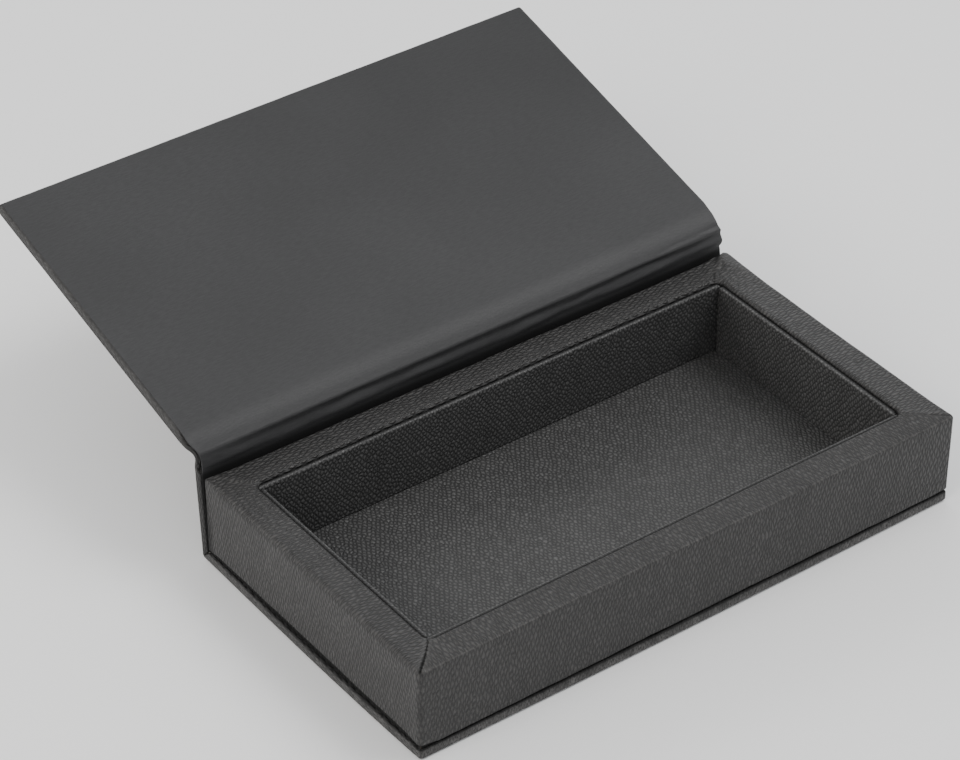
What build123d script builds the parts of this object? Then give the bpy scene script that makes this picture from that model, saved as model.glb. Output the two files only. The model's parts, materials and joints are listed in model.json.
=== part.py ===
"""Guest check presenter: a shallow leather-covered tray on a hardback case with a hinged lid.

Millimetres. +X to the right, +Y to the hinge, +Z up. The origin is the centre of the tray's
footprint, on the underside of the base. The lid is drawn laid back, as it stands when opened.
"""
import os
from math import cos, radians, sin, tan

from build123d import *

# ---------------------------------------------------------------- driving dimensions
# tray
tray_width = 184.8          # outside, along the hinge
tray_depth = 101.3          # outside, front to rear
tray_height = 26.6          # walls above the base
rim_width = 10.0            # wall with its leather, outside to inside
corner_round = 1.6          # upright outer corners
rim_round = 1.5             # long edges of the rim

# sheets and boards
leather = 0.8               # embossed leather of the walls and the case
skived = 0.4                # leather thinned where it is turned in
lining = 0.4                # smooth sheet of the lid and the joint
board = 2.2                 # the three boards of the case
turn_in = 14.0              # margin of leather turned in on top of the base board
case_edge_round = 0.7       # wrapped edges of the case

# lining panels inside the walls, and the floor
panel_card = 1.0
panel_leather = 0.6
panel_drop = 1.0            # panel's top below the rim
panel_gap = 0.15            # between a panel's end and its neighbour
panel_edge_round = 0.5
floor_card = 1.5
floor_leather = 0.6

# spine
spine_foot_gap = 0.1        # spine behind the rear wall, at the underside of the base
spine_lean = 3.4            # degrees, outward from upright
spine_drop = 0.4            # spine's top below the rim

# lid
lid_overhang = 1.2          # lid beyond the tray at each end
lid_angle = 14.45           # degrees above level, free edge to the rear
lid_corner_round = 1.2      # free corners
lid_rest_gap = 0.3          # lid above the rim when it is shut
lining_inset = 0.7          # lining sheet in from the lid's edges

# soft joint between the spine and the lid
hinge_behind = 3.25         # hinge line behind the rear wall
hinge_above = 4.9           # hinge line above the rim
joint_reach = 5.0           # lid's boards start this far from the hinge line
bow_at_spine = 5.0          # how far the leather keeps the spine's direction as it bows in
bow_at_lid = 7.0            # how far it keeps the lid's
ridge_above = 7.8           # fold of the lining above the rim
ridge_round = 1.2
ease_run = 0.9              # run of its easy bend onto the lid, each side of the corner
joint_flat = 0.1            # and its flat end against the lid's lining

# ---------------------------------------------------------------- worked out
base_height = leather + board + skived
tray_top = base_height + tray_height
tray_rear = tray_depth / 2
tray_front = -tray_depth / 2
well_width = tray_width - 2 * rim_width
well_depth = tray_depth - 2 * rim_width
core_thickness = rim_width - 2 * leather
core_height = tray_height - leather
floor_top = base_height + floor_card + floor_leather
panel_thickness = panel_card + panel_leather
panel_height = tray_top - panel_drop - floor_top

lean = radians(spine_lean)
spine_thickness = lining + board + leather
spine_top = tray_top - spine_drop
spine_inner_width = tray_width - 2 * leather

rest = radians(lid_angle)
hinge_y = tray_rear + hinge_behind
hinge_z = tray_top + hinge_above
lid_width = tray_width + 2 * lid_overhang
lid_inner = hinge_above - lid_rest_gap          # from the hinge line out to the lined face
lid_outer = lid_inner - lining - board - leather
board_out = lid_outer + leather
lining_out = board_out + board
lid_reach = hinge_y - tray_front                # shut, the lid ends flush with the front
lid_plane = Plane(origin=(0, hinge_y, hinge_z), x_dir=(1, 0, 0), z_dir=(0, -sin(rest), cos(rest)))

# one plane on the outside of each wall: X along the wall, Y up, normal into the tray;
# with it the length of the wall's core, and that of its lining panel
walls = {
    "front": (
        Plane(origin=(0, tray_front, 0), x_dir=(-1, 0, 0), z_dir=(0, 1, 0)),
        tray_width - 2 * leather,
        well_width - 2 * panel_gap,
    ),
    "rear": (
        Plane(origin=(0, tray_rear, 0), x_dir=(1, 0, 0), z_dir=(0, -1, 0)),
        tray_width - 2 * leather,
        well_width - 2 * panel_gap,
    ),
    "left": (
        Plane(origin=(-tray_width / 2, 0, 0), x_dir=(0, 1, 0), z_dir=(1, 0, 0)),
        well_depth + 2 * leather,
        well_depth - 2 * (panel_thickness + panel_gap),
    ),
    "right": (
        Plane(origin=(tray_width / 2, 0, 0), x_dir=(0, -1, 0), z_dir=(-1, 0, 0)),
        well_depth + 2 * leather,
        well_depth - 2 * (panel_thickness + panel_gap),
    ),
}


def spine_point(depth, height):
    """(y, z) on the leaning spine: depth behind its inner face, at a height above the table."""
    return (tray_rear + spine_foot_gap + depth / cos(lean) + height * tan(lean), height)


def lid_point(along, out):
    """(y, z) on the lid: along from the hinge line to the free edge, out to the lined face."""
    return (
        hinge_y + along * cos(rest) - out * sin(rest),
        hinge_z + along * sin(rest) + out * cos(rest),
    )


def along_spine(length):
    """(y, z) step up the spine."""
    return (length * sin(lean), length * cos(lean))


def along_lid(length):
    """(y, z) step along the lid to its free edge."""
    return (length * cos(rest), length * sin(rest))


def save(piece, name):
    """Label a finished piece and write it to its own file."""
    piece.part.label = name
    export_step(piece.part, f"parts/{name}.step")


os.makedirs("parts", exist_ok=True)

# ---------------------------------------------------------------- case: base
with BuildPart() as base_board:
    with BuildSketch(Plane.XY.offset(leather)):
        with Locations((0, tray_front + leather)):
            Rectangle(tray_width - 2 * leather, tray_depth - leather, align=(Align.CENTER, Align.MIN))
    extrude(amount=board)

with BuildPart() as base_cover:
    with BuildSketch(Plane.XY):
        Rectangle(tray_width, tray_depth)
    extrude(amount=base_height)
    fillet(base_cover.edges().filter_by(Axis.Z).group_by(Axis.Y)[0], corner_round)
    fillet(base_cover.faces().sort_by(Axis.Z)[0].edges().group_by(Axis.Y)[:-1], case_edge_round)
    # the sheet goes on under the spine
    with BuildSketch(Plane.YZ):
        with BuildLine():
            Polyline(
                (tray_rear - rim_width, 0),
                spine_point(spine_thickness, 0),
                spine_point(spine_thickness, leather),
                (tray_rear - rim_width, leather),
                close=True,
            )
        make_face()
    extrude(amount=tray_width / 2 - case_edge_round, both=True)
    add(base_board.part, mode=Mode.SUBTRACT)
    # the board lies bare between the margins, and under the rear wall
    with BuildSketch(Plane.XY.offset(leather + board)):
        with Locations((0, tray_front + turn_in)):
            Rectangle(tray_width - 2 * turn_in, tray_depth - turn_in, align=(Align.CENTER, Align.MIN))
    extrude(amount=skived, mode=Mode.SUBTRACT)

# ---------------------------------------------------------------- case: spine
with BuildPart() as spine_board:
    with BuildSketch(Plane.YZ):
        with BuildLine():
            Polyline(
                spine_point(lining, leather),
                spine_point(lining + board, leather),
                spine_point(lining + board, spine_top),
                spine_point(lining, spine_top),
                close=True,
            )
        make_face()
    extrude(amount=spine_inner_width / 2, both=True)

with BuildPart() as spine_cover:
    with BuildSketch(Plane.YZ):
        with BuildLine():
            Polyline(
                spine_point(lining, leather),
                spine_point(spine_thickness, leather),
                spine_point(spine_thickness, spine_top),
                spine_point(lining, spine_top),
                close=True,
            )
        make_face()
    extrude(amount=tray_width / 2, both=True)
    upright = spine_cover.edges().filter_by(Axis((0, 0, 0), (0, sin(lean), cos(lean))))
    fillet(upright.group_by(Axis.Y)[-1], case_edge_round)
    add(spine_board.part, mode=Mode.SUBTRACT)

with BuildPart() as spine_lining:
    with BuildSketch(Plane.YZ):
        with BuildLine():
            Polyline(
                spine_point(0, base_height),
                spine_point(lining, base_height),
                spine_point(lining, spine_top),
                spine_point(0, spine_top),
                close=True,
            )
        make_face()
    extrude(amount=spine_inner_width / 2, both=True)
    # foot turned in under the rear wall
    with BuildSketch(Plane.YZ):
        with BuildLine():
            Polyline(
                (tray_rear - turn_in, leather + board),
                spine_point(lining, leather + board),
                spine_point(lining, base_height),
                (tray_rear - turn_in, base_height),
                close=True,
            )
        make_face()
    extrude(amount=tray_width / 2 - turn_in, both=True)

# ---------------------------------------------------------------- tray: walls, panels, leather
cores = []
for side, (plane, core_length, panel_length) in walls.items():
    with BuildPart() as wall:
        with BuildSketch(plane.offset(leather)):
            with Locations((0, base_height)):
                Rectangle(core_length, core_height, align=(Align.CENTER, Align.MIN))
        extrude(amount=core_thickness)
    cores.append(wall.part)
    save(wall, f"{side}_wall")

    with BuildPart() as panel:
        with BuildSketch(plane.offset(rim_width)):
            with Locations((0, floor_top)):
                Rectangle(
                    panel_length - 2 * panel_leather,
                    panel_height - panel_leather,
                    align=(Align.CENTER, Align.MIN),
                )
        extrude(amount=panel_card)
    save(panel, f"{side}_panel")

    with BuildPart() as panel_cover:
        with BuildSketch(plane.offset(rim_width)):
            with Locations((0, floor_top)):
                Rectangle(panel_length, panel_height, align=(Align.CENTER, Align.MIN))
        extrude(amount=panel_thickness)
        fillet(panel_cover.faces().sort_by(Axis.Z)[-1].edges(), panel_edge_round)
        add(panel.part, mode=Mode.SUBTRACT)
    save(panel_cover, f"{side}_panel_cover")

with BuildPart() as wall_wrap:
    with BuildSketch(Plane.XY.offset(base_height)):
        RectangleRounded(tray_width, tray_depth, corner_round)
        Rectangle(well_width, well_depth, mode=Mode.SUBTRACT)
    extrude(amount=tray_height)
    fillet(wall_wrap.faces().sort_by(Axis.Z)[-1].edges(), rim_round)
    add(cores, mode=Mode.SUBTRACT)

# ---------------------------------------------------------------- tray: floor
with BuildPart() as tray_floor:
    with BuildSketch(Plane.XY.offset(base_height)):
        Rectangle(well_width, well_depth)
    extrude(amount=floor_card)

with BuildPart() as floor_cover:
    with BuildSketch(Plane.XY.offset(base_height + floor_card)):
        Rectangle(well_width, well_depth)
    extrude(amount=floor_leather)

# ---------------------------------------------------------------- lid
board_length = lid_reach - leather - joint_reach

with BuildPart() as lid_board:
    with BuildSketch(lid_plane.offset(board_out)):
        with Locations((0, joint_reach)):
            Rectangle(lid_width - 2 * leather, board_length, align=(Align.CENTER, Align.MIN))
    extrude(amount=board)

with BuildPart() as lid_cover:
    with BuildSketch(lid_plane.offset(lid_outer)):
        with Locations((0, joint_reach)):
            Rectangle(lid_width, lid_reach - joint_reach, align=(Align.CENTER, Align.MIN))
    extrude(amount=leather + board)
    corners = lid_cover.edges().filter_by(Axis(lid_plane.origin, lid_plane.z_dir))
    fillet(corners.group_by(Axis.Y)[-1], lid_corner_round)
    outer_face = lid_cover.faces().sort_by(Axis(lid_plane.origin, lid_plane.z_dir))[0]
    fillet(outer_face.edges().group_by(Axis.Y)[1:], case_edge_round)
    add(lid_board.part, mode=Mode.SUBTRACT)

with BuildPart() as lid_lining:
    with BuildSketch(lid_plane.offset(lining_out)):
        with Locations((0, joint_reach)):
            Rectangle(
                lid_width - 2 * lining_inset,
                lid_reach - lining_inset - joint_reach,
                align=(Align.CENTER, Align.MIN),
            )
    extrude(amount=lining)

# ---------------------------------------------------------------- joint
# the leather bows in between the spine's board and the lid's
with BuildPart() as hinge_cover:
    with BuildSketch(Plane.YZ):
        with BuildLine():
            sheets = []
            for depth, out in ((spine_thickness, lid_outer), (lining + board, board_out)):
                foot = Vector(spine_point(depth, spine_top))
                head = Vector(lid_point(joint_reach, out))
                sheets.append(
                    Bezier(
                        foot,
                        foot + Vector(along_spine(bow_at_spine)),
                        head - Vector(along_lid(bow_at_lid)),
                        head,
                    )
                )
            Line(sheets[0] @ 0, sheets[1] @ 0)
            Line(sheets[0] @ 1, sheets[1] @ 1)
        make_face()
    extrude(amount=tray_width / 2, both=True)

# the lining stands straight up out of the gap, folds over a ridge and slopes up to the lid
ridge = Vector(spine_point(0, tray_top + ridge_above))
ease = Vector(lid_point(joint_reach - ease_run - joint_flat, lid_inner))
ease_turn = radians((ease - ridge).get_angle(Vector(along_lid(ease_run))))

with BuildPart() as hinge_lining:
    with BuildSketch(Plane.YZ):
        with BuildLine():
            FilletPolyline(
                spine_point(0, spine_top),
                ridge,
                ease,
                lid_point(joint_reach, lid_inner),
                radius=[ridge_round, ease_run / tan(ease_turn / 2)],
            )
            offset(amount=lining, side=Side.RIGHT)
        make_face()
    extrude(amount=spine_inner_width / 2, both=True)
    add(spine_lining.part, mode=Mode.SUBTRACT)

for piece, name in (
    (base_board, "base_board"),
    (base_cover, "base_cover"),
    (spine_board, "spine_board"),
    (spine_cover, "spine_cover"),
    (spine_lining, "spine_lining"),
    (wall_wrap, "wall_wrap"),
    (tray_floor, "tray_floor"),
    (floor_cover, "floor_cover"),
    (lid_board, "lid_board"),
    (lid_cover, "lid_cover"),
    (lid_lining, "lid_lining"),
    (hinge_cover, "hinge_cover"),
    (hinge_lining, "hinge_lining"),
):
    save(piece, name)
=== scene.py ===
"""Guest check presenter: leather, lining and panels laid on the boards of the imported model.

Metres, in the model's own frame: +X to the right, +Y to the hinge, +Z up. Every sheet is cut flat,
with its pattern kept as a UV map, and is then folded round what it covers.
"""

import json
from bisect import bisect_right
from math import atan2, ceil, cos, exp, hypot, pi, radians, sin, sqrt, tan

import bmesh
import bpy
from mathutils import Matrix, Vector, noise


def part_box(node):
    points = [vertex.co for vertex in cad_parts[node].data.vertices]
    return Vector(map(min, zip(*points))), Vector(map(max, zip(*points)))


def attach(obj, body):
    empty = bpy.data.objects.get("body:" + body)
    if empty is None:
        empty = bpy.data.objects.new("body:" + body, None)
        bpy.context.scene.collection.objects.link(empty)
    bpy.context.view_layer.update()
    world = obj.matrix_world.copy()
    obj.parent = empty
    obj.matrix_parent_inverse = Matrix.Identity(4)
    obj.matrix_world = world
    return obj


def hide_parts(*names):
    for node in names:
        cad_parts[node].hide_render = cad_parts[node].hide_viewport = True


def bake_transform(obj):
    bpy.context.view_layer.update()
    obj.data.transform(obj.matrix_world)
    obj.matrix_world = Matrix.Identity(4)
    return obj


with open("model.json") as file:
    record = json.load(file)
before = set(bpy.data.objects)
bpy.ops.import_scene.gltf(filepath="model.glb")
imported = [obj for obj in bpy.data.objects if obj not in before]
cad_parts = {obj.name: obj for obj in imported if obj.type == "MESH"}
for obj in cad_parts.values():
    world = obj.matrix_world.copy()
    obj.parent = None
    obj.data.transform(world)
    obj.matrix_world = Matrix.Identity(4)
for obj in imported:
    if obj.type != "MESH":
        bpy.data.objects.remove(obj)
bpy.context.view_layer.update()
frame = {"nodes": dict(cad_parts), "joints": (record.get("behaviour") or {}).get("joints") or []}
MM = 0.001

# ---------------------------------------------------------------- sizes from the model
wrap_low, wrap_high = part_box("wall_wrap")
well_low, well_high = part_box("floor_cover")
hinge = frame["joints"][0]
half_width = wrap_high.x
half_depth = wrap_high.y
wall_foot = wrap_low.z
tray_top = wrap_high.z
rim_width = wrap_high.x - well_high.x
hinge_y, hinge_z = hinge["pos_m"][1:]
lid_angle = pi - radians(hinge["range_deg"][1])
lid_half_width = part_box("lid_cover")[1].x
lid_reach = hinge_y + half_depth

# ---------------------------------------------------------------- sizes of the leather work
leather = 0.8 * MM
board = 2.2 * MM
lining = 0.4 * MM
case_thickness = 3.4 * MM       # leather, board and lining
wrapped = 3.2 * MM              # leather, board and turned-in leather
pressed = 3.16 * MM             # the same under the weight of the walls
double_leather = 1.5 * MM       # leather turned in on itself where there is no board
turn_in = 14 * MM
spine_foot_gap = 0.1 * MM
spine_lean = radians(3.4)
spine_drop = 0.4 * MM
lid_outer = 1.2 * MM            # hinge line to the lid's leather
joint_reach = 5 * MM            # lid's board starts this far from the hinge line
bow_at_spine = 5 * MM
bow_at_lid = 7 * MM
ridge_above = 6.6 * MM
ridge_round = 1.4 * MM
slope_round = 14 * MM           # slope from the ridge easing into the lid
case_fold = 1.4 * MM            # leather folding up from the base to the spine
case_edge_round = 0.8 * MM      # seen from above
case_edge_rise = 0.7 * MM       # seen from the side
case_corner_round = 0.95 * MM
lining_inset = 0.8 * MM
spine_lining_shift = 0.5 * MM   # lining glued a little to the right
core_inset = 0.8 * MM           # wall's core inside its leather
well_corner_round = 2.6 * MM
panel_drop = 1.0 * MM
panel_thickness = 1.6 * MM
panel_gap = 0.15 * MM
panel_edge_round = 0.55 * MM
sheet_thickness = 0.45 * MM     # of the open leather sheets

# how far the finished edges stand out beyond the boards, as wrapped by hand
lid_left_out = (0.85 * MM, 0.30 * MM)       # by the joint and at the free edge
lid_right_out = 0.55 * MM
lid_far_out = 0.6 * MM
base_left_bow = 0.60 * MM
base_front_bow = 0.38 * MM
flap_limit = 0.60 * MM          # the rim's loose corner stays under the shut lid's board
tray_right_out = 0.95 * MM

# ---------------------------------------------------------------- camera
photo_width = 960
camera_azimuth = radians(-36.482)
camera_elevation = radians(36.568)
camera_roll = radians(0.056)
camera_distance = 1.05748
camera_target = Vector((0.007789, 0.058602, 0.015))
camera_focus_px = 3617.38       # focal length in pixels of the photograph
sensor = 36.0


# ---------------------------------------------------------------- paths in a section
class Path:
    """A line through a section: rows of run, across, up and heading."""

    def __init__(self, across, up, heading=0.0):
        self.rows = [(0.0, across, up, heading)]

    def straight(self, length, count):
        """Go straight on, in even rows."""
        run, across, up, heading = self.rows[-1]
        for i in range(1, count + 1):
            part = length * i / count
            self.rows.append((run + part, across + part * cos(heading), up + part * sin(heading), heading))
        return self

    def arc(self, radius, turn, count):
        """Turn by an angle, to the left if it is positive."""
        run, across, up, heading = self.rows[-1]
        side = 1 if turn > 0 else -1
        centre = (across - side * radius * sin(heading), up + side * radius * cos(heading))
        for i in range(1, count + 1):
            angle = heading + turn * i / count
            self.rows.append((
                run + radius * abs(turn) * i / count,
                centre[0] + side * radius * sin(angle),
                centre[1] - side * radius * cos(angle),
                angle,
            ))
        return self

    def bezier(self, end, end_heading, lead_out, lead_in, count):
        """Swing over to a point and a heading."""
        run, across, up, heading = self.rows[-1]
        p0 = Vector((across, up))
        p3 = Vector(end)
        p1 = p0 + lead_out * Vector((cos(heading), sin(heading)))
        p2 = p3 - lead_in * Vector((cos(end_heading), sin(end_heading)))
        last = p0
        for i in range(1, count + 1):
            t = i / count
            s = 1 - t
            here = s * s * s * p0 + 3 * s * s * t * p1 + 3 * s * t * t * p2 + t * t * t * p3
            way = s * s * (p1 - p0) + 2 * s * t * (p2 - p1) + t * t * (p3 - p2)
            run += (here - last).length
            self.rows.append((run, here.x, here.y, atan2(way.y, way.x)))
            last = here
        return self

    def toward(self, corner, radius, after, count, arc_count):
        """Run up to a corner, round it and leave in the direction of the point after it."""
        _, across, up, heading = self.rows[-1]
        way_in = Vector(corner) - Vector((across, up))
        way_out = Vector(after) - Vector(corner)
        turn = atan2(way_in.x * way_out.y - way_in.y * way_out.x, way_in.dot(way_out))
        back_off = radius * tan(abs(turn) / 2)
        self.straight(way_in.length - back_off, count)
        return self.arc(radius, turn, arc_count)

    def to(self, point, count):
        _, across, up, _ = self.rows[-1]
        return self.straight(hypot(point[0] - across, point[1] - up), count)

    @property
    def length(self):
        return self.rows[-1][0]

    def at(self, run):
        """Across, up and heading at a run, going straight on past the ends."""
        inner = min(max(run, 0.0), self.length)
        i = min(bisect_right(self.rows, (inner, 9.0, 9.0, 9.0)), len(self.rows) - 1)
        a, b = self.rows[i - 1], self.rows[i]
        part = (inner - a[0]) / max(b[0] - a[0], 1e-12)
        across, up, heading = (a[k] + (b[k] - a[k]) * part for k in (1, 2, 3))
        past = run - inner
        return across + past * cos(heading), up + past * sin(heading), heading


def spine_point(depth, height):
    """(y, z) on the leaning spine: depth behind its inner face, at a height above the table."""
    return (half_depth + spine_foot_gap + depth / cos(spine_lean) + height * tan(spine_lean), height)


def lid_point(along, out):
    """(y, z) on the lid: along from the hinge line to the free edge, out to the lined face."""
    return (
        hinge_y + along * cos(lid_angle) - out * sin(lid_angle),
        hinge_z + along * sin(lid_angle) + out * cos(lid_angle),
    )


def ramp(value, start, end):
    """0 before start, 1 after end, smooth between."""
    t = min(max((value - start) / (end - start), 0.0), 1.0)
    return t * t * (3 - 2 * t)


def widen(x, left, right):
    """Stand the left and right edges out by so much, and the rest in step with them."""
    return x * (1 + (right if x > 0 else left) / half_width)


def uneven(x, y, size, seed):
    """Smooth hand-made unevenness, about -1 to 1, with swells of the given size."""
    return noise.noise(Vector((x / size, y / size, seed)))


# ---------------------------------------------------------------- sheets
SHADINGS = ("wear_and_painted_light", "painted_shade", "plain")      # lighter edges from wear and painted highlight, with painted shade toward the lid's far right; painted shade in gaps, slits and folds; where the grain is pressed out


def wrap_board(path, half, edge_round, edge_rise, corner_round, thickness, margin=None, step=2.5 * MM):
    """Cut a sheet for a board and turn its edges over: flat coordinates, x across, y along the path, z in.

    half and thickness are functions of the run. The edges are rounded over edge_round seen from
    above and edge_rise seen from the side. With a margin, the sheet ends that far in on the inside.
    Without one, it closes over the whole inside.
    """
    corner = corner_round - edge_round
    border = [corner * i / 3 for i in range(4)]
    runs = [run for run, *_ in path.rows if corner + 0.1 * MM < run < path.length - corner - 0.1 * MM]
    rows = border + runs + [path.length - corner + b for b in border]
    inner_count = ceil(2 * (half(path.length / 2) - edge_round - corner) / step)
    columns = [(-1.0, b - corner) for b in border[:-1]]
    columns += [(2 * i / inner_count - 1, 0.0) for i in range(inner_count + 1)]
    columns += [(1.0, b) for b in border[1:]]

    bm = bmesh.new()
    pattern = bm.loops.layers.uv.new("pattern")
    bmesh.ops.create_grid(bm, x_segments=len(columns) - 1, y_segments=len(rows) - 1, size=0.5)
    flat = {}
    out = {}
    for vert in bm.verts:
        share, beyond = columns[round((vert.co.x + 0.5) * (len(columns) - 1))]
        run = rows[round((vert.co.y + 0.5) * (len(rows) - 1))]
        side = 1 if share > 0 else -1
        end = 1 if run > path.length / 2 else -1
        over = (run - path.length if end > 0 else -run) + corner
        a = abs(beyond) / corner
        b = max(over, 0.0) / corner
        inner_half = half(run) - edge_round - corner
        x = share * inner_half + side * (a * sqrt(1 - b * b / 2)) * corner
        if b > 0:
            run += end * corner * (b * sqrt(1 - a * a / 2) - b)
        vert.co = (x, run, 0)
        flat[vert] = Vector((x, run))
        if a > 0.99 or b > 0.99:
            outward = Vector((side * a * sqrt(1 - b * b / 2), end * b * sqrt(1 - a * a / 2)))
            out[vert] = outward.normalized()
    face_faces = list(bm.faces)

    def carry_on(offset):
        """One more ring round the border. offset gives its place and how far it lies in the pattern."""
        nonlocal out
        edges = [e for e in bm.edges if e.is_boundary]
        made = bmesh.ops.extrude_edge_only(bm, edges=edges)["geom"]
        ring = {}
        for vert in (g for g in made if isinstance(g, bmesh.types.BMVert)):
            old = next(e.other_vert(vert) for e in vert.link_edges if e.other_vert(vert) in out)
            ring[vert] = out[old]
            home[vert] = home[old]
            place, reach = offset(home[old], out[old])
            vert.co = place
            flat[vert] = home[old] + out[old] * reach
        out = ring

    home = {vert: flat[vert].copy() for vert in out}
    steps = 4
    depths = []
    for i in range(1, steps + 1):
        angle = pi / 2 * i / steps
        depths.append((sin(angle), 1 - cos(angle), angle, 0))
    for i in range(1, steps + 1):
        angle = pi / 2 * i / steps
        depths.append((cos(angle), sin(angle), pi / 2 + angle, 1))
    for across, deep, angle, upper in depths:
        def offset(base, outward, across=across, deep=deep, angle=angle, upper=upper):
            thick = thickness(base.y)
            rounding = min(edge_rise, 0.48 * thick)
            z = deep * rounding if not upper else thick - rounding + deep * rounding
            place = base + outward * across * edge_round
            return (place.x, place.y, z), angle * rounding + upper * (thick - 2 * rounding)
        carry_on(offset)

    if margin:
        def inner(base, outward):
            reach = margin - edge_round
            limit = half(base.y) - edge_round - reach
            x = min(max(base.x, -limit), limit)
            y = min(max(base.y, reach), path.length - reach)
            return (x, y, thickness(base.y)), pi * edge_round + reach + case_thickness
        carry_on(inner)
    else:
        copy = bmesh.ops.duplicate(bm, geom=face_faces)
        doubles = [g for g in copy["geom"] if isinstance(g, bmesh.types.BMFace)]
        for source, twin in copy["vert_map"].items():
            if source in flat and isinstance(twin, bmesh.types.BMVert) and twin not in flat:
                flat[twin] = flat[source] + Vector((0.3, 0))
                twin.co.z = thickness(twin.co.y)
        bmesh.ops.reverse_faces(bm, faces=doubles)

    for face in bm.faces:
        for loop in face.loops:
            loop[pattern].uv = flat[loop.vert]
    bmesh.ops.remove_doubles(bm, verts=bm.verts, dist=1e-6)
    return bm


def fold_along(bm, path, swell, paint=None):
    """Bend a flat sheet along its path: x stays across, the path gives y and z."""
    layers = [bm.verts.layers.float.new(name) for name in SHADINGS]
    for vert in bm.verts:
        x, run, deep = vert.co
        if paint:
            for layer, value in zip(layers, paint(x, run, deep)):
                vert[layer] = value
        deep += swell(x, run, deep)
        y, z, heading = path.at(run)
        vert.co = (x, y - deep * sin(heading), z + deep * cos(heading))


def make_piece(bm, name, material, thickness=0.0, sharp=50):
    """Turn the finished sheet into an object at the origin, smooth but for its sharp edges.

    An open sheet gets its thickness on the inside, away from the side that is seen.
    """
    bmesh.ops.recalc_face_normals(bm, faces=bm.faces)
    if not thickness and bm.calc_volume(signed=True) < 0:
        bmesh.ops.reverse_faces(bm, faces=bm.faces)
    mesh = bpy.data.meshes.new(name)
    bm.to_mesh(mesh)
    bm.free()
    mesh.shade_smooth()
    mesh.set_sharp_from_angle(angle=radians(sharp))
    mesh.materials.append(material)
    piece = bpy.data.objects.new(name, mesh)
    bpy.context.scene.collection.objects.link(piece)
    if thickness:
        solid = piece.modifiers.new("thickness", "SOLIDIFY")
        solid.thickness = thickness
        solid.offset = -1
    return piece


# ---------------------------------------------------------------- materials
def add_node(tree, kind, inputs=None, **settings):
    """A shader node with its settings, its values and what is plugged into it."""
    node = tree.nodes.new(kind)
    for key, value in settings.items():
        setattr(node, key, value)
    for key, value in (inputs or {}).items():
        if isinstance(value, bpy.types.NodeSocket):
            tree.links.new(value, node.inputs[key])
        else:
            node.inputs[key].default_value = value
    return node


def new_material(name):
    material = bpy.data.materials.new(name)
    material.use_nodes = True
    tree = material.node_tree
    tree.nodes.clear()
    return material, tree


def finish_material(tree, values, colour, roughness, normal):
    """Principled shader with its uniform values on its own sockets."""
    shader = add_node(tree, "ShaderNodeBsdfPrincipled", {
        "Base Color": colour, "Roughness": roughness, "Normal": normal, **values,
    })
    add_node(tree, "ShaderNodeOutputMaterial", {"Surface": shader.outputs["BSDF"]})


def math_node(tree, operation, first, second=0.0):
    return add_node(tree, "ShaderNodeMath", {0: first, 1: second}, operation=operation).outputs[0]


def map_range(tree, value, low, high, to_low=0.0, to_high=1.0):
    node = add_node(tree, "ShaderNodeMapRange", {
        "Value": value, "From Min": low, "From Max": high, "To Min": to_low, "To Max": to_high,
    }, interpolation_type="SMOOTHSTEP")
    return node.outputs["Result"]


def mix_colour(tree, factor, first, second):
    node = add_node(tree, "ShaderNodeMix", data_type="RGBA")
    for key, value in ((0, factor), (6, first), (7, second)):
        if isinstance(value, bpy.types.NodeSocket):
            tree.links.new(value, node.inputs[key])
        else:
            node.inputs[key].default_value = value
    return node.outputs[2]


def attribute(tree, name):
    return add_node(tree, "ShaderNodeAttribute", attribute_name=name).outputs["Fac"]


def scale_colour(tree, colour, factor):
    return add_node(tree, "ShaderNodeVectorMath", {0: colour, "Scale": factor}, operation="SCALE").outputs[0]


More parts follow.
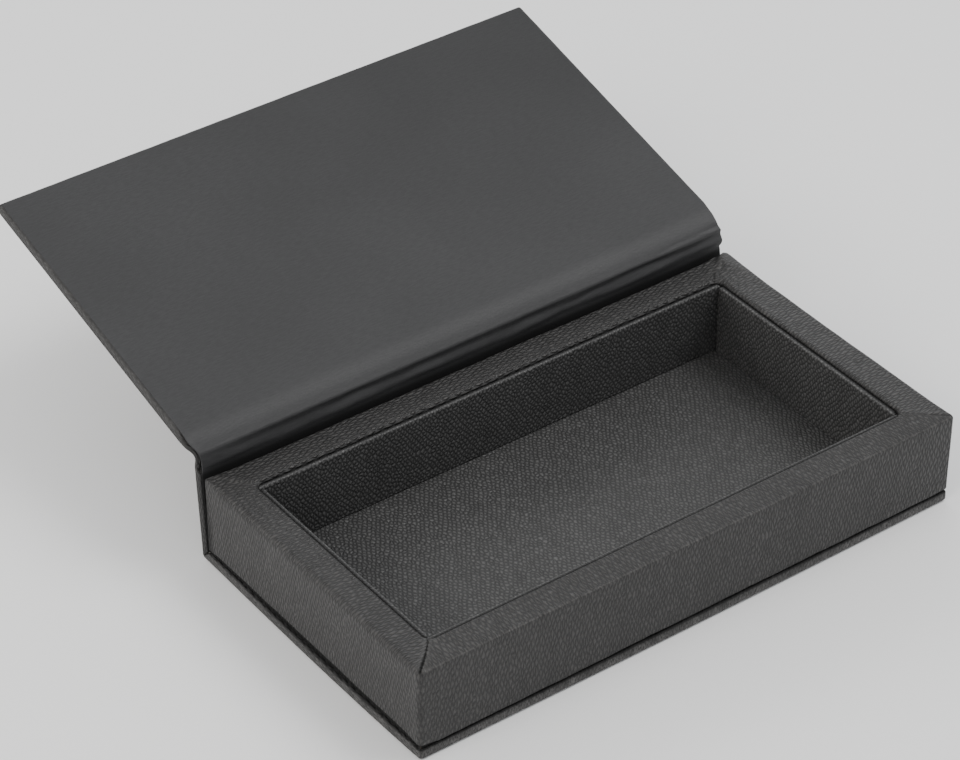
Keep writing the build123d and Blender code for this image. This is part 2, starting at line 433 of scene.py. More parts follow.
def embossed_leather(name, cell, long_cell, top, groove, height, roughness):
    """Leather pressed with a small lizard grain: rows of raised cells, longer than wide."""
    material, tree = new_material(name)
    pattern = add_node(tree, "ShaderNodeUVMap", uv_map="pattern").outputs["UV"]
    cells = add_node(tree, "ShaderNodeMapping", {
        "Vector": pattern, "Scale": (sqrt(2) / cell, sqrt(2) / long_cell, 1), "Rotation": (0, 0, pi / 4),
    }).outputs["Vector"]
    drift = add_node(tree, "ShaderNodeTexNoise", {"Vector": cells, "Scale": 0.16, "Detail": 1.0})
    centred = add_node(tree, "ShaderNodeVectorMath", {0: drift.outputs["Color"], 1: (0.5, 0.5, 0.5)},
                       operation="SUBTRACT").outputs[0]
    pushed = scale_colour(tree, centred, 1.3)
    bent = add_node(tree, "ShaderNodeVectorMath", {0: cells, 1: pushed}, operation="ADD").outputs[0]
    grain = {"Vector": bent, "Scale": 1.0, "Randomness": 0.55}
    flat = {"voronoi_dimensions": "2D"}
    edge = add_node(tree, "ShaderNodeTexVoronoi", grain, feature="DISTANCE_TO_EDGE", **flat).outputs["Distance"]
    tone = add_node(tree, "ShaderNodeTexVoronoi", grain, feature="F1", **flat).outputs["Color"]
    single = add_node(tree, "ShaderNodeSeparateColor", {"Color": tone}).outputs["Red"]
    raised = map_range(tree, edge, 0.06, 0.36)
    domed = map_range(tree, edge, 0.0, 0.50)
    fine = add_node(tree, "ShaderNodeTexNoise", {"Vector": cells, "Scale": 2.2, "Detail": 3.0}).outputs["Fac"]
    broad = add_node(tree, "ShaderNodeTexNoise", {"Vector": cells, "Scale": 0.05, "Detail": 2.0}).outputs["Fac"]
    pressed_out = math_node(tree, "SUBTRACT", 1.0, attribute(tree, "plain"))

    shade = map_range(tree, single, 0.0, 1.0, 0.88, 1.12)
    patch = map_range(tree, broad, 0.3, 0.7, 0.95, 1.05)
    # painted shade: darker in gaps, slits and folds, where shade falls
    fold_and_gap_shade = map_range(tree, attribute(tree, "painted_shade"), 0.0, 1.0, 1.0, 0.12)
    lit = math_node(tree, "MULTIPLY", math_node(tree, "MULTIPLY", shade, patch), fold_and_gap_shade)
    middle = tuple((t + g) / 2 for t, g in zip(top, groove))
    shown = math_node(tree, "MULTIPLY", raised, pressed_out)
    halfway = math_node(tree, "MULTIPLY", attribute(tree, "plain"), 0.6)
    mixed = mix_colour(tree, math_node(tree, "ADD", shown, halfway), groove, top)
    # lighter rubbed edges, partly wear and partly painted highlight
    rubbed_and_highlit = math_node(tree, "MULTIPLY", attribute(tree, "wear_and_painted_light"), map_range(tree, fine, 0.38, 0.58))
    worn_and_highlit = mix_colour(tree, rubbed_and_highlit, mixed, tuple(3.2 * m for m in middle[:3]) + (1,))
    colour = scale_colour(tree, worn_and_highlit, lit)

    gloss = map_range(tree, fine, 0.3, 0.7, roughness - 0.05, roughness + 0.08)
    dull = math_node(tree, "ADD", gloss, math_node(tree, "MULTIPLY", attribute(tree, "painted_shade"), 0.35))
    pores = add_node(tree, "ShaderNodeBump", {
        "Height": fine, "Distance": 0.03 * MM, "Strength": 0.7,
    }).outputs["Normal"]
    dome = math_node(tree, "ADD", math_node(tree, "MULTIPLY", raised, 0.6),
                     math_node(tree, "MULTIPLY", domed, 0.4))
    emboss = add_node(tree, "ShaderNodeBump", {
        "Height": math_node(tree, "MULTIPLY", dome, pressed_out),
        "Distance": height, "Strength": 1.0, "Normal": pores,
    }).outputs["Normal"]
    finish_material(tree, {"Specular IOR Level": 0.32}, colour, dull, emboss)
    return material


def smooth_lining(name, base):
    """Plain coated lining: faint drawn streaks across, a dull gloss and a few specks."""
    material, tree = new_material(name)
    pattern = add_node(tree, "ShaderNodeUVMap", uv_map="pattern").outputs["UV"]
    streaks = add_node(tree, "ShaderNodeMapping", {
        "Vector": pattern, "Scale": (1 / (2.6 * MM), 1 / (0.5 * MM), 1),
    }).outputs["Vector"]
    drawn = add_node(tree, "ShaderNodeTexNoise", {"Vector": streaks, "Scale": 1.0, "Detail": 3.0})
    even = add_node(tree, "ShaderNodeMapping", {
        "Vector": pattern, "Scale": (1 / MM, 1 / MM, 1),
    }).outputs["Vector"]
    clouds = add_node(tree, "ShaderNodeTexNoise", {"Vector": even, "Scale": 0.022, "Detail": 2.0})
    pores = add_node(tree, "ShaderNodeTexNoise", {"Vector": even, "Scale": 2.4, "Detail": 2.0})
    # painted shade: black down in the gap behind the tray, and darker toward the lid's far right
    gap_shade = map_range(tree, attribute(tree, "painted_shade"), 0.0, 1.0, 1.0, 0.15)
    streak = math_node(tree, "MULTIPLY", gap_shade, map_range(tree, drawn.outputs["Fac"], 0.3, 0.7, 0.91, 1.09))
    far_right_shade = map_range(tree, attribute(tree, "wear_and_painted_light"), 0.0, 1.0, 1.0, 0.75)
    cloud = math_node(tree, "MULTIPLY", far_right_shade, map_range(tree, clouds.outputs["Fac"], 0.3, 0.7, 0.94, 1.06))
    shade = math_node(tree, "MULTIPLY", streak, cloud)
    colour = scale_colour(tree, base[:3], shade)
    mottled = map_range(tree, pores.outputs["Fac"], 0.3, 0.7, 0.46, 0.58)
    roughness = math_node(tree, "ADD", mottled, math_node(tree, "MULTIPLY", attribute(tree, "painted_shade"), 0.35))
    fine = add_node(tree, "ShaderNodeBump", {
        "Height": pores.outputs["Fac"], "Distance": 0.02 * MM, "Strength": 0.5,
    }).outputs["Normal"]
    drawn_bump = add_node(tree, "ShaderNodeBump", {
        "Height": drawn.outputs["Fac"], "Distance": 0.03 * MM, "Strength": 0.5, "Normal": fine,
    }).outputs["Normal"]
    finish_material(tree, {"Specular IOR Level": 0.32}, colour, roughness, drawn_bump)
    return material


def pressed_board(name, light, dark, fibre, roughness_low, roughness_high):
    """Bare board or card: pressed fibres, flecks and a dull face."""
    material, tree = new_material(name)
    place = add_node(tree, "ShaderNodeTexCoord").outputs["Object"]
    flecks = add_node(tree, "ShaderNodeTexNoise", {"Vector": place, "Scale": 1 / fibre, "Detail": 4.0})
    fibres = add_node(tree, "ShaderNodeTexNoise", {"Vector": place, "Scale": 0.2 / fibre, "Detail": 2.0,
                                                   "Distortion": 0.6})
    fleck = map_range(tree, flecks.outputs["Fac"], 0.35, 0.65)
    colour = mix_colour(tree, fleck, dark, light)
    roughness = map_range(tree, fibres.outputs["Fac"], 0.3, 0.7, roughness_low, roughness_high)
    rough_face = add_node(tree, "ShaderNodeBump", {
        "Height": flecks.outputs["Fac"], "Distance": 0.06 * MM, "Strength": 0.6,
    }).outputs["Normal"]
    finish_material(tree, {"Specular IOR Level": 0.3}, colour, roughness, rough_face)
    return material


wall_hide = embossed_leather("wall_hide", 1.35 * MM, 3.8 * MM, (0.050, 0.048, 0.0465, 1),
                             (0.021, 0.0205, 0.0205, 1), 0.34 * MM, 0.43)
case_hide = embossed_leather("case_hide", 1.35 * MM, 3.4 * MM, (0.052, 0.050, 0.0485, 1),
                             (0.016, 0.016, 0.016, 1), 0.32 * MM, 0.43)
# painted light: the panels and well floor are lighter than the walls' leather, standing in for light thrown back
# from the well's contents
lightened_panel_hide = embossed_leather("lightened_panel_hide", 1.55 * MM, 2.2 * MM, (0.086, 0.085, 0.084, 1),
                              (0.036, 0.036, 0.036, 1), 0.22 * MM, 0.42)
lining_coat = smooth_lining("lining_coat", (0.034, 0.034, 0.035, 1))
grey_board = pressed_board("grey_board", (0.30, 0.29, 0.27, 1), (0.20, 0.19, 0.18, 1), 0.8 * MM, 0.8, 0.95)
fibre_board = pressed_board("fibre_board", (0.42, 0.32, 0.21, 1), (0.28, 0.20, 0.12, 1), 0.6 * MM, 0.75, 0.9)
plain_card = pressed_board("plain_card", (0.45, 0.43, 0.40, 1), (0.36, 0.34, 0.31, 1), 0.5 * MM, 0.8, 0.95)


# ---------------------------------------------------------------- case: one leather sheet
def case_path():
    """Outer face of the case: under the base, up the spine, over the joint and out to the free edge."""
    front = -half_depth + case_edge_round
    foot = spine_point(case_thickness, 0)
    spine_top = spine_point(case_thickness, tray_top - spine_drop)
    joint_end = lid_point(joint_reach, lid_outer)
    free_end = lid_point(lid_reach - case_edge_round, lid_outer)
    path = Path(front, 0.0)
    path.toward(foot, case_fold, spine_top, 48, 10)
    path.to(spine_top, 14)
    path.bezier(joint_end, lid_angle, bow_at_spine, bow_at_lid, 26)
    path.to(free_end, 42)
    return path


def on_lid(run, path):
    """0 up to the joint, 1 on the lid, for a path that ends at its free edge."""
    from_end = path.length - run
    return 1 - ramp(from_end, lid_reach - joint_reach, lid_reach - joint_reach + 4 * MM)


def lid_left(run, path):
    by_joint = (path.length - run) / lid_reach
    return on_lid(run, path) * (lid_left_out[1] + (lid_left_out[0] - lid_left_out[1]) * by_joint)


def lid_right(run, path):
    return on_lid(run, path) * lid_right_out


def lid_far(run, path):
    return lid_far_out * ramp(run, path.length - 40 * MM, path.length - 2 * MM)


def build_case():
    path = case_path()
    fold_start = next(row[0] for row in path.rows if row[3] > 0.05)
    fold_end = next(row[0] for row in path.rows if row[3] > pi / 2 - spine_lean - 0.05)
    spine_end = fold_end + (tray_top - spine_drop - case_fold) / cos(spine_lean)
    lid_start = path.length - (lid_reach - joint_reach - case_edge_round)
    ease = 1.2 * MM

    def thickness(run):
        at_fold = ramp(run, fold_start - ease, fold_start) * (1 - ramp(run, fold_end, fold_end + ease))
        at_joint = ramp(run, spine_end, spine_end + ease) * (1 - ramp(run, lid_start, lid_start + 3 * ease))
        boarded = pressed if run < fold_start else wrapped
        return boarded + (double_leather - boarded) * max(at_fold, at_joint)

    def half(run):
        return half_width + (lid_half_width - half_width) * ramp(run, spine_end, lid_start + 2 * MM)

    def swell(x, run, deep):
        edge = 0.5 + 0.5 * ramp(abs(x), half_width - 12 * MM, half_width)
        lift = 0.07 * MM * edge * uneven(x, run, 21 * MM, 3.1)
        turned_in = ramp(deep, 1.6 * MM, 2.6 * MM)
        return lift + turned_in * 0.09 * MM * uneven(x, run, 5 * MM, 8.8)

    def paint(x, run, deep):
        """Lighter along the middle of the lid's edges and round the base's edges, most at the front, as wear and
        painted highlight; painted shade at the lining's edge on the lid, on the edges by the spine and in the gap
        under the walls; pressed grain on every edge.
        """
        on_edge = ramp(deep, 0.25 * MM, 0.9 * MM)
        on_lid = ramp(run, lid_start - 2 * MM, lid_start + 4 * MM)
        on_spine = ramp(run, fold_start, fold_end) * (1 - on_lid)
        middle = 1 - min(abs(deep - 1.9 * MM) / (0.45 * MM), 1.0)
        # lighter band: wear and painted highlight
        wear_and_painted_light = on_lid * middle * (0.62 + 0.3 * uneven(x, run, 9 * MM, 6.1))
        by_fold = ramp(run, fold_start - 4 * MM, fold_start - 1 * MM)
        front = 1 - ramp(run, 0.5 * MM, 3 * MM)
        gap_start = (2.6 - 0.2 * front) * MM
        wear_and_painted_light += (1 - by_fold) * on_edge * (0.3 + 0.45 * front + 0.8 * uneven(x, run, 2.4 * MM, 1.9))
        # painted shade at the lining's edge on the lid, on the spine's edges and in the gap under the walls
        painted_shade = on_lid * 0.55 * (1 - ramp(deep, 0.5 * MM, 1.5 * MM)) * ramp(deep, 0.1 * MM, 0.4 * MM)
        painted_shade += on_spine * 0.3 * on_edge + (1 - on_lid) * ramp(deep, gap_start, gap_start + 0.65 * MM) * 0.9
        return max(wear_and_painted_light, 0.0), painted_shade, on_edge * (0.75 if on_lid else 0.35)

    bm = wrap_board(path, half, case_edge_round, case_edge_rise, case_corner_round, thickness, turn_in)
    for vert in bm.verts:
        x, run, deep = vert.co
        on_base = 1 - ramp(run, fold_start - 8 * MM, fold_start)
        bow = base_left_bow * sin(pi * min(max(run / fold_start, 0.0), 1.0) ** 0.8)
        vert.co.x = widen(x, bow + lid_left(run, path), tray_right_out * on_base + lid_right(run, path))
        vert.co.y -= base_front_bow * (1 - (x / half_width) ** 2) * (1 - ramp(run, 0, 6 * MM))
        vert.co.y += lid_far(run, path)
    fold_along(bm, path, swell, paint)
    piece = make_piece(bm, "case_leather", case_hide, sheet_thickness)
    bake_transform(piece)
    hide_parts("base_cover", "spine_cover", "hinge_cover", "lid_cover")


# ---------------------------------------------------------------- lining of the spine, joint and lid
# creases that the opened joint leaves in the roll: where each shows from and to along the hinge,
# its run from the ridge at both of these, its width, and how far it stands up or falls in
ROLL_CREASES = (
    (-94 * MM, 93 * MM, -1.5 * MM, -1.2 * MM, 0.95 * MM, -0.36 * MM),
    (-112 * MM, 93 * MM, -4.0 * MM, -3.5 * MM, 1.20 * MM, 0.55 * MM),
    (36 * MM, 93 * MM, -4.4 * MM, -2.2 * MM, 0.80 * MM, 0.32 * MM),
    (20 * MM, 84 * MM, -2.8 * MM, -0.4 * MM, 0.70 * MM, -0.26 * MM),
    (62 * MM, 93 * MM, 0.6 * MM, 2.4 * MM, 0.60 * MM, -0.12 * MM),
    (74 * MM, 93 * MM, 2.6 * MM, 0.8 * MM, 0.50 * MM, 0.10 * MM),
    (-60 * MM, -8 * MM, -0.6 * MM, -2.6 * MM, 0.80 * MM, -0.18 * MM),
    (-112 * MM, -66 * MM, -2.4 * MM, -2.0 * MM, 1.50 * MM, 0.45 * MM),
)


def lining_path():
    """Seen face of the lining: up out of the gap, over the ridge and out along the lid."""
    foot = spine_point(0, wall_foot + 0.2 * MM)
    ridge = spine_point(0, tray_top + ridge_above)
    lid_inner = lid_outer + case_thickness
    ease = lid_point(joint_reach - 0.5 * MM, lid_inner)
    flat = lid_point(joint_reach + 9 * MM, lid_inner)
    free_end = lid_point(lid_reach - lining_inset, lid_inner)
    path = Path(foot[0], foot[1], pi / 2 - spine_lean)
    path.toward(ridge, ridge_round, ease, 64, 12)
    path.toward(ease, slope_round, flat, 6, 14)
    path.to(free_end, 60)
    return path


def build_lining():
    path = lining_path()
    ridge_run = next(row[0] for row in path.rows if row[3] < pi / 2 - spine_lean - 0.02)
    lid_half = lid_half_width - lining_inset

    def past_ridge(run):
        return ramp(run, ridge_run - 2 * MM, ridge_run + 4 * MM)

    def half(run):
        return half_width + (lid_half - half_width) * past_ridge(run)

    def swell(x, run, deep):
        """Creases of the roll, faint waves of the lid, and edges drawn down a little."""
        from_ridge = run - ridge_run
        total = 0.10 * MM * uneven(x, run, 34 * MM, 7.7) * ramp(from_ridge, 6 * MM, 12 * MM)
        for start, end, first, last, width, depth in ROLL_CREASES:
            part = min(max((x - start) / (end - start), 0.0), 1.0)
            line = first + (last - first) * part + 0.90 * MM * uneven(x, first, 24 * MM, first * 999)
            line += 0.35 * MM * uneven(x, last, 7 * MM, 4.4)
            shown = ramp(x, start, start + 18 * MM) * (0.85 + 0.6 * uneven(x, last, 15 * MM, 3.7))
            if end < 90 * MM:
                shown *= 1 - ramp(x, end - 18 * MM, end)
            total += depth * shown * exp(-((from_ridge - line) / width) ** 2)
        near_end = ramp(abs(x), half_width - 5 * MM, half_width)
        on_roll = ramp(from_ridge, -9 * MM, -4 * MM) * (1 - ramp(from_ridge, 3 * MM, 8 * MM))
        return total + 0.22 * MM * near_end * on_roll * uneven(x, run, 2.6 * MM, 2.9)

    bm = wrap_board(path, half, 0.19 * MM, 0.19 * MM, 0.35 * MM, lambda run: lining, step=1.5 * MM)
    def paint(x, run, deep):
        """Painted shade: darker toward the far right, and black down in the gap."""
        far_right_shade = ramp(run, ridge_run, path.length) * (0.5 + 0.5 * x / half_width)
        return far_right_shade, 1 - ramp(run, ridge_run - 7.2 * MM, ridge_run - 4.4 * MM), 0.0

    for vert in bm.verts:
        x, run, deep = vert.co
        bulge = exp(-((run - ridge_run) / (3.0 * MM)) ** 2) * ramp(x, half_width - 4 * MM, half_width)
        pinch = exp(-((run - ridge_run + 4.6 * MM) / (0.8 * MM)) ** 2) * ramp(x, half_width - 2 * MM, half_width)
        vert.co.x = widen(x, lid_left(run, path), lid_right(run, path))
        vert.co.x += spine_lining_shift * (1 - past_ridge(run)) + 0.5 * MM * bulge - 0.4 * MM * pinch
        vert.co.y += lid_far(run, path)
        vert.co.z = -deep
    fold_along(bm, path, swell, paint)
    piece = make_piece(bm, "lid_lining_sheet", lining_coat)
    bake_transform(piece)
    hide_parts("spine_lining", "hinge_lining", "lid_lining")


# ---------------------------------------------------------------- walls
HALF = (half_width, half_depth) * 2             # half lengths of the front, right, rear and left side
RIM_ROUND = (0.8 * MM, 1.4 * MM, 1.6 * MM, 2.0 * MM)
FOOT_HEIGHT = (3.80 * MM, 4.0 * MM, 4.1 * MM, 5.30 * MM)
# how much lighter each side's rounded rim edge is: wear and painted highlight, strongest on the front
RIM_WEAR_AND_HIGHLIGHT = (0.75, 0.4, 0.15, 0.12)
CORNER_SIGNS = ((1, -1), (1, 1), (-1, 1), (-1, -1))
CORNER_ROUND = (1.0 * MM, 0.9 * MM, 0.4 * MM, 1.5 * MM)
CORNER_RIM = (0.8 * MM, 0.8 * MM, 0.6 * MM, 1.4 * MM)
SEAM_DEPTH = (0.3, 0.8, 0.3, 1.0)
SEAM_SHIFT = (0.0, 1.6 * MM, 0.0, 0.0)          # mitre lying over to one side
CORNER_STEPS = 14


def wall_profile(rim_round, foot):
    """Section of the wall's leather, d in from the outside: tucked foot, wall, rim and down the well."""
    under = wall_foot - 0.04 * MM
    tuck = core_inset - 0.05 * MM
    path = Path(2.2 * MM, under, pi)
    path.toward((tuck, under), 0.03 * MM, (tuck, foot), 1, 2)
    path.toward((tuck, foot), 0.15 * MM, (0, foot + 0.1 * MM), 1, 3)
    path.toward((0, foot + 0.1 * MM), 0.3 * MM, (0, tray_top), 1, 4)
    path.toward((0, tray_top), rim_round, (rim_width, tray_top), 14, 8)
    path.toward((rim_width, tray_top), 1.3 * MM, (rim_width, 0), 16, 7)
    path.to((rim_width, well_high.z), 5)
    return path.rows


def wall_stations():
    """Places round the walls: side, way along its straight run, way round the corner after it."""
    stations = []
    for side in range(4):
        steps = ceil(2 * HALF[side] / (1.6 * MM))
        stations += [(side, i / steps, 0.0) for i in range(steps)]
        stations += [(side, 1.0, i / CORNER_STEPS) for i in range(CORNER_STEPS)]
    return stations + [(0, 0.0, 0.0)]


def corner_radius(corner, d, z):
    """Radius seen from above: sharp round the core's foot, and looser low down at the rear left."""
    inner = ramp(d, 0, rim_width)
    radius = CORNER_ROUND[corner] * (1 - inner) + well_corner_round * inner
    if corner == 2:
        radius += 3.4 * MM * (1 - ramp(z, 5 * MM, 28 * MM)) * (d == 0)
    if z < 5 * MM and d > 0:
        radius = CORNER_ROUND[corner] * (1 - d / core_inset) + 0.1 * MM
    return max(radius, 0.1 * MM)


def corner_point(corner, turn, d, z):
    """Place on the rounded corner at d in from the outside, turn going from 0 to 1."""
    radius = corner_radius(corner, d, z)
    sx, sy = CORNER_SIGNS[corner]
    angle = (corner - 1 + turn) * pi / 2
    return Vector((
        sx * (half_width - d - radius) + radius * cos(angle),
        sy * (half_depth - d - radius) + radius * sin(angle),
    ))


def wall_point(side, part, turn, d, z):
    if turn > 0 or part == 1:
        return corner_point(side, turn, d, z)
    return corner_point((side - 1) % 4, 1, d, z).lerp(corner_point(side, 0, d, z), part)


def side_length(side, part, turn, d, seen_from):
    """How far a point lies from the middle of the side that it is seen from, along the leather."""
    if seen_from == side:
        start, end = (HALF[side] - d - corner_radius(c % 4, d, tray_top) for c in (side - 1, side))
        return -start + (start + end) * part + turn * pi / 2 * corner_radius(side, d, tray_top)
    radius = corner_radius(side, d, tray_top)
    return -(HALF[seen_from] - d - radius) - (1 - turn) * pi / 2 * radius


def build_walls():
    """One strip all round the walls, mitred on the rim at each corner."""
    stations = wall_stations()
    profiles = []
    feet = []
    for side, part, turn in stations:
        from_start = 2 * HALF[side] * part
        to_end = 2 * HALF[side] * (1 - part)
        rounding = RIM_ROUND[side]
        rounding += (CORNER_RIM[side - 1] - rounding) * (1 - ramp(from_start, 0, 9 * MM))
        rounding += (CORNER_RIM[side] - rounding) * (1 - ramp(to_end, 0, 9 * MM))
        foot = FOOT_HEIGHT[side]
        foot += (FOOT_HEIGHT[side - 1] - foot) * 0.5 * (1 - ramp(from_start, 0, 6 * MM))
        foot += (FOOT_HEIGHT[(side + 1) % 4] - foot) * 0.5 * (1 - ramp(to_end, 0, 6 * MM))
        place = wall_point(side, part, turn, 0, tray_top)
        foot += 0.16 * MM * uneven(place.x, place.y, 9 * MM, 2.2)
        foot += 0.12 * MM * uneven(place.x, place.y, 2.6 * MM, 5.1)
        profiles.append(wall_profile(rounding, foot))
        feet.append(foot)
    starts = [0.0]
    for side in range(3):
        starts.append(starts[-1] + HALF[side] + HALF[side + 1] - (2 - pi / 2) * CORNER_ROUND[side])

    bm = bmesh.new()
    pattern = bm.loops.layers.uv.new("pattern")
    layers = [bm.verts.layers.float.new(name) for name in SHADINGS]
    columns, rows = len(stations) - 1, len(profiles[0]) - 1
    bmesh.ops.create_grid(bm, x_segments=columns, y_segments=rows, size=0.5)
    cell = {v: (round((v.co.x + 0.5) * columns), round((v.co.y + 0.5) * rows)) for v in bm.verts}
    for face in bm.faces:
        first = min(cell[loop.vert][0] for loop in face.loops)
        side, part, turn = stations[first]
        seen_from = side if turn < 0.5 else (side + 1) % 4
        for loop in face.loops:
            column, row = cell[loop.vert]
            own_side, part, turn = stations[column]
            if column == columns:
                own_side, part, turn = 3, 1.0, 1.0
            if turn == 0 and part == 0 and own_side != seen_from:
                own_side, part, turn = seen_from, 1.0, 1.0
            run, d, _, _ = profiles[column][row]
            u = starts[seen_from] + side_length(own_side, part, turn, d, seen_from)
            loop[pattern].uv = (run, u) if seen_from == 2 else (u, run)

    moves = {}
    for vert, (column, row) in cell.items():
        side, part, turn = stations[column]
        _, d, z, heading = profiles[column][row]
        x, y = wall_point(side, part, turn, d, z)
        vert.co = (x + tray_right_out * ramp(x, half_width - rim_width, half_width), y, z)
        on_rim = ramp(z, tray_top - 1.0 * MM, tray_top - 0.2 * MM)
        corner = CORNER_SIGNS.index((1 if x > 0 else -1, 1 if y > 0 else -1))
        from_end = half_width - d - abs(x), half_depth - d - abs(y)
        t = min(d / rim_width, 1.0)
        mitre = (from_end[0] - from_end[1]) / sqrt(2) - 0.35 * MM * sin(pi * t) * SEAM_DEPTH[corner]
        mitre -= SEAM_SHIFT[corner] * (1 - 0.3 * t)
        outer = 1 - ramp(t, 0.25, 0.75)
        seam_width = (0.26 + 0.24 * outer) * MM
        slit = on_rim * max(0.0, 1 - abs(mitre) / seam_width) * SEAM_DEPTH[corner]
        lip = on_rim * exp(-((abs(mitre) - 0.8 * MM) / (0.45 * MM)) ** 2) * SEAM_DEPTH[corner]
        wave = 0.10 * MM * uneven(x, y + z, 17 * MM, 1.7) + 0.05 * MM * uneven(x, y + z, 6 * MM, 4.2)
        wave *= ramp(z, 4.6 * MM, 7 * MM) * (heading >= 0)
        lift = (0.10 + 0.16 * outer) * MM * lip - (0.30 + 0.15 * (1 - outer)) * MM * slit
        flap = exp(-((x - 91.0 * MM) ** 2 + (y - 46.8 * MM) ** 2) / (3.4 * MM) ** 2)
        flap += 0.8 * exp(-((x - 91.4 * MM) / (3.0 * MM)) ** 2 - ((y - 41.0 * MM) / (7.0 * MM)) ** 2)
        lift = min(lift + 0.75 * MM * flap * on_rim, flap_limit)
        moves[vert] = (wave, lift)
        # painted shade: low on the wall behind the spine at the rear left, down the inside of the well below the
        # rim, and under the wall's foot
        shade_behind_spine = (1 - ramp(z, 6 * MM, 30 * MM)) * 0.9 * (corner == 2) * ramp(y, 47.6 * MM, 49.6 * MM)
        shade_inside_well = ramp(heading, 0, -pi / 2) * ramp(tray_top - z, 0.5 * MM, 1.0 * MM)
        foot_shade = (1 - ramp(z, feet[column] + 0.05 * MM, feet[column] + 0.4 * MM)) * 0.9
        bend = max(0.0, sin(2 * heading)) if heading > 0 else 0.0
        # lighter rounded rim edges: wear and painted highlight
        vert[layers[0]] = bend ** 4 * RIM_WEAR_AND_HIGHLIGHT[side] * (0.8 + 0.5 * uneven(x, y, 7 * MM, 9.4))
        # painted shade in the mitre slits and the places above, where shade falls
        vert[layers[1]] = min(1.0, 1.7 * slit * (0.55 + 0.45 * outer) + foot_shade + shade_behind_spine + shade_inside_well)
        vert[layers[2]] = min(1.0, 0.6 * lip + 0.7 * flap * on_rim)
    bmesh.ops.remove_doubles(bm, verts=bm.verts, dist=1e-6)
    bmesh.ops.recalc_face_normals(bm, faces=bm.faces)
    bm.normal_update()
    core_top = tray_top - core_inset + 0.06 * MM
    for vert in bm.verts:
        wave, lift = moves[vert]
        before = vert.co.z
        vert.co += vert.normal * wave + Vector((0, 0, lift))
        if before > core_top:
            vert.co.z = max(vert.co.z, core_top)
    piece = make_piece(bm, "wall_leather", wall_hide, sheet_thickness)
    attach(piece, "tray")
    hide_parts("wall_wrap")


# ---------------------------------------------------------------- panels and floor of the well
def build_panels():
    """Covered cards inside the walls, one to each side of the well."""
    sides = {
        "front": (0.0, well_high.x - panel_gap, well_high.y),
        "right": (pi / 2, well_high.y - panel_thickness - panel_gap, well_high.x),
        "rear": (pi, well_high.x - panel_gap, well_high.y),
        "left": (-pi / 2, well_high.y - panel_thickness - panel_gap, well_high.x),
    }
    height = tray_top - panel_drop - well_high.z
    edge = panel_edge_round
    for number, (side, (turn, length, far)) in enumerate(sides.items()):
        path = Path(edge, 0.0).straight(height - 2 * edge, 12)
        bm = wrap_board(path, lambda run: length, edge, edge, 1.3 * MM, lambda run: panel_thickness, step=3 * MM)
        layers = [bm.verts.layers.float.new(name) for name in SHADINGS]
        for vert in bm.verts:
            x, run, deep = vert.co
            from_top = path.length + edge - run
            # lighter top edge: wear and painted highlight; painted shade on the back of the top edge, in the slit
            # against the wall
            vert[layers[0]] = 0.12 * (1 - ramp(from_top, 0.1 * MM, 0.9 * MM)) * (1 - ramp(deep, 0.3 * MM, 0.9 * MM))
            vert[layers[1]] = ramp(deep, 0.40 * MM, 0.80 * MM)
            bow = 0.10 * MM * uneven(x, run, 19 * MM, 11.3 + number) * (1 - deep / panel_thickness)
            flat_place = Vector((x, -far + panel_thickness - deep + bow))
            turned = Matrix.Rotation(turn, 2) @ flat_place
            vert.co = (turned.x, turned.y, well_high.z + edge + run)
        piece = make_piece(bm, f"{side}_panel_leather", lightened_panel_hide)
        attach(piece, "tray")
        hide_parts(f"{side}_panel_cover")


def build_floor():
    """Leather laid on the floor card, a little uneven."""
    edge = 0.28 * MM
    thickness = well_high.z - well_low.z
    length = well_high.y - well_low.y
    path = Path(well_low.y + edge, 0).straight(length - 2 * edge, 34)
    bm = wrap_board(path, lambda run: well_high.x, edge, edge, 0.8 * MM, lambda run: thickness)
    for vert in bm.verts:
        x, run, deep = vert.co
        rise = 0.05 * MM * uneven(x, run, 23 * MM, 5.5) * (1 - deep / thickness)
        vert.co = (x, well_low.y + edge + run, well_high.z - deep + rise)
    piece = make_piece(bm, "floor_leather", lightened_panel_hide)
    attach(piece, "tray")
    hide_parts("floor_cover")


# ---------------------------------------------------------------- boards and cards of the model
def finish_boards():
    for names, material in (
        (("base_board", "spine_board", "lid_board"), grey_board),
        (("front_wall", "rear_wall", "left_wall", "right_wall"), fibre_board),
        (("front_panel", "rear_panel", "left_panel", "right_panel", "tray_floor"), plain_card),
    ):
        for name in names:
            mesh = frame["nodes"][name].data
            mesh.materials.clear()
            mesh.materials.append(material)


# ---------------------------------------------------------------- stage
def add_light(name, place, aim, size, power, colour=(1, 1, 1)):
    """A soft square light aimed at a point."""
    data = bpy.data.lights.new(name, "AREA")
    data.shape = "RECTANGLE"
    data.size, data.size_y = size
    data.energy = power
    data.color = colour
    light = bpy.data.objects.new(name, data)
    light.location = place
    light.rotation_euler = (Vector(aim) - Vector(place)).to_track_quat("-Z", "Y").to_euler()
    bpy.context.scene.collection.objects.link(light)


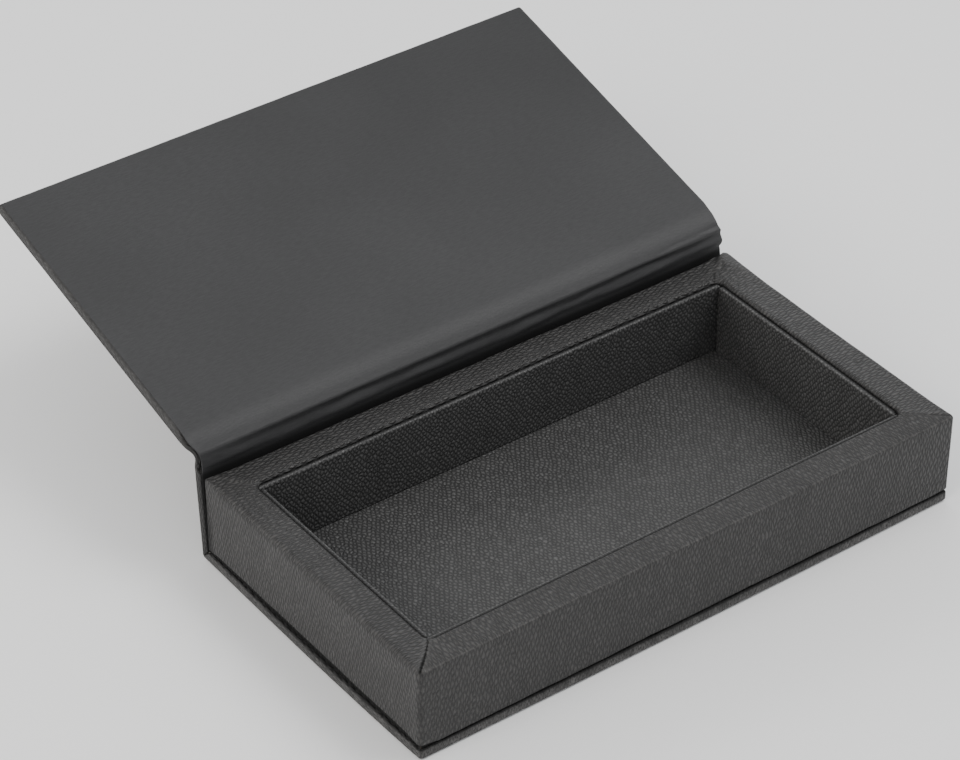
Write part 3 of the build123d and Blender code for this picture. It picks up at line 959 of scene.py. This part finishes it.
def set_stage():
    bm = bmesh.new()
    bmesh.ops.create_circle(bm, cap_ends=True, segments=64, radius=4)
    mesh = bpy.data.meshes.new("floor")
    bm.to_mesh(mesh)
    bm.free()
    material, tree = new_material("pale_floor")
    place = add_node(tree, "ShaderNodeTexCoord").outputs["Object"]
    mottle = add_node(tree, "ShaderNodeTexNoise", {"Vector": place, "Scale": 3.0, "Detail": 1.0})
    tone = mix_colour(tree, mottle.outputs["Fac"], (0.90, 0.90, 0.90, 1), (0.92, 0.92, 0.92, 1))
    shader = add_node(tree, "ShaderNodeBsdfPrincipled", {"Base Color": tone, "Roughness": 0.8})
    add_node(tree, "ShaderNodeOutputMaterial", {"Surface": shader.outputs["BSDF"]})
    mesh.materials.append(material)
    floor = bpy.data.objects.new("floor", mesh)
    floor.location.z = -0.3 * MM
    bpy.context.scene.collection.objects.link(floor)

    world = bpy.data.worlds.new("studio")
    world.use_nodes = True
    world.node_tree.nodes["Background"].inputs["Color"].default_value = (0.97, 0.985, 1, 1)
    world.node_tree.nodes["Background"].inputs["Strength"].default_value = 0.74
    bpy.context.scene.world = world
    aim = (0, 0.03, 0.02)
    add_light("key_left", (-0.8, -0.13, 0.72), aim, (0.6, 0.6), 3.8, (1, 0.96, 0.91))
    add_light("front_right", (0.62, -0.27, 1.15), aim, (0.7, 0.7), 9.0)
    add_light("back_right", (0.75, 1.45, 0.70), aim, (1.2, 0.8), 5.5, (0.96, 0.98, 1))
    add_light("back_left", (-0.95, 1.05, 0.70), aim, (0.6, 0.6), 7.5, (1, 0.98, 0.95))


def set_camera():
    back = Vector((
        sin(camera_azimuth) * cos(camera_elevation),
        -cos(camera_azimuth) * cos(camera_elevation),
        sin(camera_elevation),
    ))
    level = Vector((0, 0, 1)).cross(back).normalized()
    upright = back.cross(level)
    right = level * cos(camera_roll) + upright * sin(camera_roll)
    up = back.cross(right)
    data = bpy.data.cameras.new("camera")
    data.sensor_width = sensor
    data.lens = camera_focus_px / photo_width * sensor
    data.clip_end = 50
    camera = bpy.data.objects.new("camera", data)
    turned = Matrix((right, up, back)).transposed().to_4x4()
    camera.matrix_world = Matrix.Translation(camera_target + back * camera_distance) @ turned
    bpy.context.scene.collection.objects.link(camera)
    bpy.context.scene.camera = camera


set_camera()
set_stage()
build_case()
build_lining()
build_walls()
build_panels()
build_floor()
finish_boards()
